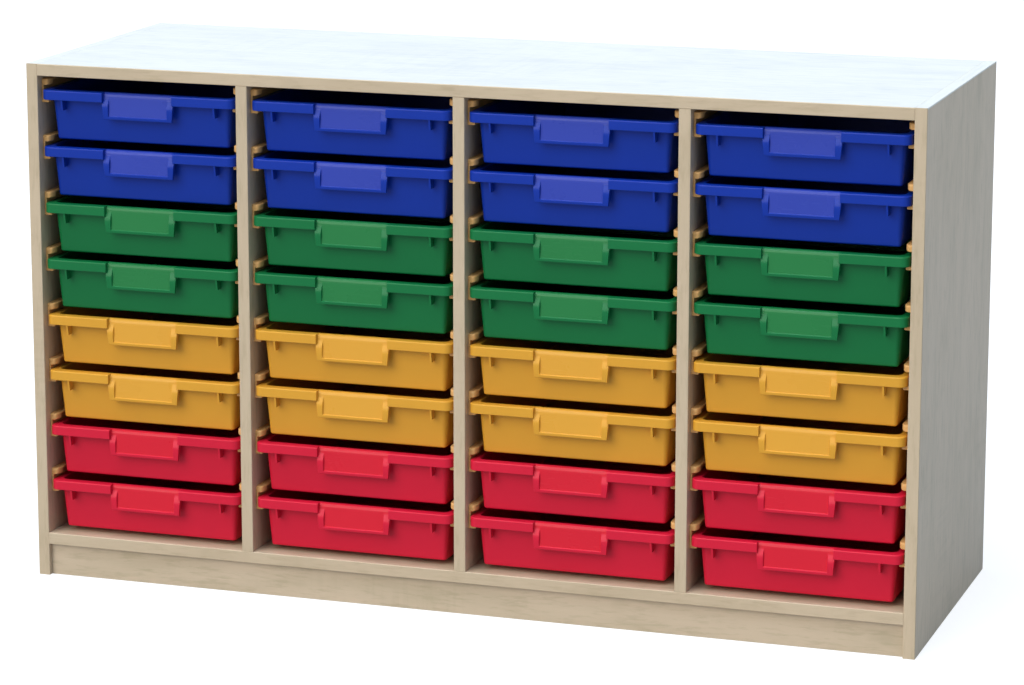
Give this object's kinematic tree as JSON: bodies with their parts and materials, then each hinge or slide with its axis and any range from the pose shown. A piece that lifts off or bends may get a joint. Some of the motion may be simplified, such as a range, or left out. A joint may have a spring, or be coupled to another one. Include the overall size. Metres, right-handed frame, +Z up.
{
  "type": "classroom tray storage unit",
  "caption": "Low, wide open-fronted wooden storage unit with bays of shallow coloured plastic trays that slide on side runners, standing on a plinth.",
  "frame": {"origin": "on the floor, under the middle of the carcass", "axes": "+X to the right along the front, +Y from the open front to the back panel, +Z up"},
  "size_m": [1.37, 0.49, 0.7918],
  "materials": {
    "board": "satin pale wood-effect board",
    "edging": "satin pale wood-effect edging",
    "back": "satin pale wood-effect panel",
    "dowel": "plain beech",
    "runner": "satin cream moulding",
    "screw": "zinc plated",
    "tray_blue": "satin moulded",
    "tray_green": "satin moulded",
    "tray_yellow": "satin moulded",
    "tray_red": "satin moulded"
  },
  "bodies": {
    "cabinet": {"left_side_panel": "board", "right_side_panel": "board", "top_panel": "board", "bottom_panel": "board", "divider_1": "board", "divider_2": "board", "divider_3": "board", "front_plinth": "board", "rear_plinth": "board", "back_panel": "back", "side_panel_edging": "edging", "divider_edging": "edging", "panel_front_edging": "edging", "side_panel_dowels": "dowel", "divider_dowels": "dowel", "plinth_dowels": "dowel", "runners_bay1_left": "runner", "runners_bay1_right": "runner", "runners_bay2_left": "runner", "runners_bay2_right": "runner", "runners_bay3_left": "runner", "runners_bay3_right": "runner", "runners_bay4_left": "runner", "runners_bay4_right": "runner", "runner_screws": "screw", "back_panel_screws": "screw"},
    "tray_bay1_row1": {"tray_bay1_row1": "tray_blue"},
    "tray_bay1_row2": {"tray_bay1_row2": "tray_blue"},
    "tray_bay1_row3": {"tray_bay1_row3": "tray_green"},
    "tray_bay1_row4": {"tray_bay1_row4": "tray_green"},
    "tray_bay1_row5": {"tray_bay1_row5": "tray_yellow"},
    "tray_bay1_row6": {"tray_bay1_row6": "tray_yellow"},
    "tray_bay1_row7": {"tray_bay1_row7": "tray_red"},
    "tray_bay1_row8": {"tray_bay1_row8": "tray_red"},
    "tray_bay2_row1": {"tray_bay2_row1": "tray_blue"},
    "tray_bay2_row2": {"tray_bay2_row2": "tray_blue"},
    "tray_bay2_row3": {"tray_bay2_row3": "tray_green"},
    "tray_bay2_row4": {"tray_bay2_row4": "tray_green"},
    "tray_bay2_row5": {"tray_bay2_row5": "tray_yellow"},
    "tray_bay2_row6": {"tray_bay2_row6": "tray_yellow"},
    "tray_bay2_row7": {"tray_bay2_row7": "tray_red"},
    "tray_bay2_row8": {"tray_bay2_row8": "tray_red"},
    "tray_bay3_row1": {"tray_bay3_row1": "tray_blue"},
    "tray_bay3_row2": {"tray_bay3_row2": "tray_blue"},
    "tray_bay3_row3": {"tray_bay3_row3": "tray_green"},
    "tray_bay3_row4": {"tray_bay3_row4": "tray_green"},
    "tray_bay3_row5": {"tray_bay3_row5": "tray_yellow"},
    "tray_bay3_row6": {"tray_bay3_row6": "tray_yellow"},
    "tray_bay3_row7": {"tray_bay3_row7": "tray_red"},
    "tray_bay3_row8": {"tray_bay3_row8": "tray_red"},
    "tray_bay4_row1": {"tray_bay4_row1": "tray_blue"},
    "tray_bay4_row2": {"tray_bay4_row2": "tray_blue"},
    "tray_bay4_row3": {"tray_bay4_row3": "tray_green"},
    "tray_bay4_row4": {"tray_bay4_row4": "tray_green"},
    "tray_bay4_row5": {"tray_bay4_row5": "tray_yellow"},
    "tray_bay4_row6": {"tray_bay4_row6": "tray_yellow"},
    "tray_bay4_row7": {"tray_bay4_row7": "tray_red"},
    "tray_bay4_row8": {"tray_bay4_row8": "tray_red"}
  },
  "joints": [
    {"name": "slide_bay1_row1", "type": "slide", "parent": "cabinet", "child": "tray_bay1_row1", "axis": [0, -1, 0], "range_m": [0, 0.35]},
    {"name": "slide_bay1_row2", "type": "slide", "parent": "cabinet", "child": "tray_bay1_row2", "axis": [0, -1, 0], "range_m": [0, 0.35]},
    {"name": "slide_bay1_row3", "type": "slide", "parent": "cabinet", "child": "tray_bay1_row3", "axis": [0, -1, 0], "range_m": [0, 0.35]},
    {"name": "slide_bay1_row4", "type": "slide", "parent": "cabinet", "child": "tray_bay1_row4", "axis": [0, -1, 0], "range_m": [0, 0.35]},
    {"name": "slide_bay1_row5", "type": "slide", "parent": "cabinet", "child": "tray_bay1_row5", "axis": [0, -1, 0], "range_m": [0, 0.35]},
    {"name": "slide_bay1_row6", "type": "slide", "parent": "cabinet", "child": "tray_bay1_row6", "axis": [0, -1, 0], "range_m": [0, 0.35]},
    {"name": "slide_bay1_row7", "type": "slide", "parent": "cabinet", "child": "tray_bay1_row7", "axis": [0, -1, 0], "range_m": [0, 0.35]},
    {"name": "slide_bay1_row8", "type": "slide", "parent": "cabinet", "child": "tray_bay1_row8", "axis": [0, -1, 0], "range_m": [0, 0.35]},
    {"name": "slide_bay2_row1", "type": "slide", "parent": "cabinet", "child": "tray_bay2_row1", "axis": [0, -1, 0], "range_m": [0, 0.35]},
    {"name": "slide_bay2_row2", "type": "slide", "parent": "cabinet", "child": "tray_bay2_row2", "axis": [0, -1, 0], "range_m": [0, 0.35]},
    {"name": "slide_bay2_row3", "type": "slide", "parent": "cabinet", "child": "tray_bay2_row3", "axis": [0, -1, 0], "range_m": [0, 0.35]},
    {"name": "slide_bay2_row4", "type": "slide", "parent": "cabinet", "child": "tray_bay2_row4", "axis": [0, -1, 0], "range_m": [0, 0.35]},
    {"name": "slide_bay2_row5", "type": "slide", "parent": "cabinet", "child": "tray_bay2_row5", "axis": [0, -1, 0], "range_m": [0, 0.35]},
    {"name": "slide_bay2_row6", "type": "slide", "parent": "cabinet", "child": "tray_bay2_row6", "axis": [0, -1, 0], "range_m": [0, 0.35]},
    {"name": "slide_bay2_row7", "type": "slide", "parent": "cabinet", "child": "tray_bay2_row7", "axis": [0, -1, 0], "range_m": [0, 0.35]},
    {"name": "slide_bay2_row8", "type": "slide", "parent": "cabinet", "child": "tray_bay2_row8", "axis": [0, -1, 0], "range_m": [0, 0.35]},
    {"name": "slide_bay3_row1", "type": "slide", "parent": "cabinet", "child": "tray_bay3_row1", "axis": [0, -1, 0], "range_m": [0, 0.35]},
    {"name": "slide_bay3_row2", "type": "slide", "parent": "cabinet", "child": "tray_bay3_row2", "axis": [0, -1, 0], "range_m": [0, 0.35]},
    {"name": "slide_bay3_row3", "type": "slide", "parent": "cabinet", "child": "tray_bay3_row3", "axis": [0, -1, 0], "range_m": [0, 0.35]},
    {"name": "slide_bay3_row4", "type": "slide", "parent": "cabinet", "child": "tray_bay3_row4", "axis": [0, -1, 0], "range_m": [0, 0.35]},
    {"name": "slide_bay3_row5", "type": "slide", "parent": "cabinet", "child": "tray_bay3_row5", "axis": [0, -1, 0], "range_m": [0, 0.35]},
    {"name": "slide_bay3_row6", "type": "slide", "parent": "cabinet", "child": "tray_bay3_row6", "axis": [0, -1, 0], "range_m": [0, 0.35]},
    {"name": "slide_bay3_row7", "type": "slide", "parent": "cabinet", "child": "tray_bay3_row7", "axis": [0, -1, 0], "range_m": [0, 0.35]},
    {"name": "slide_bay3_row8", "type": "slide", "parent": "cabinet", "child": "tray_bay3_row8", "axis": [0, -1, 0], "range_m": [0, 0.35]},
    {"name": "slide_bay4_row1", "type": "slide", "parent": "cabinet", "child": "tray_bay4_row1", "axis": [0, -1, 0], "range_m": [0, 0.35]},
    {"name": "slide_bay4_row2", "type": "slide", "parent": "cabinet", "child": "tray_bay4_row2", "axis": [0, -1, 0], "range_m": [0, 0.35]},
    {"name": "slide_bay4_row3", "type": "slide", "parent": "cabinet", "child": "tray_bay4_row3", "axis": [0, -1, 0], "range_m": [0, 0.35]},
    {"name": "slide_bay4_row4", "type": "slide", "parent": "cabinet", "child": "tray_bay4_row4", "axis": [0, -1, 0], "range_m": [0, 0.35]},
    {"name": "slide_bay4_row5", "type": "slide", "parent": "cabinet", "child": "tray_bay4_row5", "axis": [0, -1, 0], "range_m": [0, 0.35]},
    {"name": "slide_bay4_row6", "type": "slide", "parent": "cabinet", "child": "tray_bay4_row6", "axis": [0, -1, 0], "range_m": [0, 0.35]},
    {"name": "slide_bay4_row7", "type": "slide", "parent": "cabinet", "child": "tray_bay4_row7", "axis": [0, -1, 0], "range_m": [0, 0.35]},
    {"name": "slide_bay4_row8", "type": "slide", "parent": "cabinet", "child": "tray_bay4_row8", "axis": [0, -1, 0], "range_m": [0, 0.35]}
  ]
}
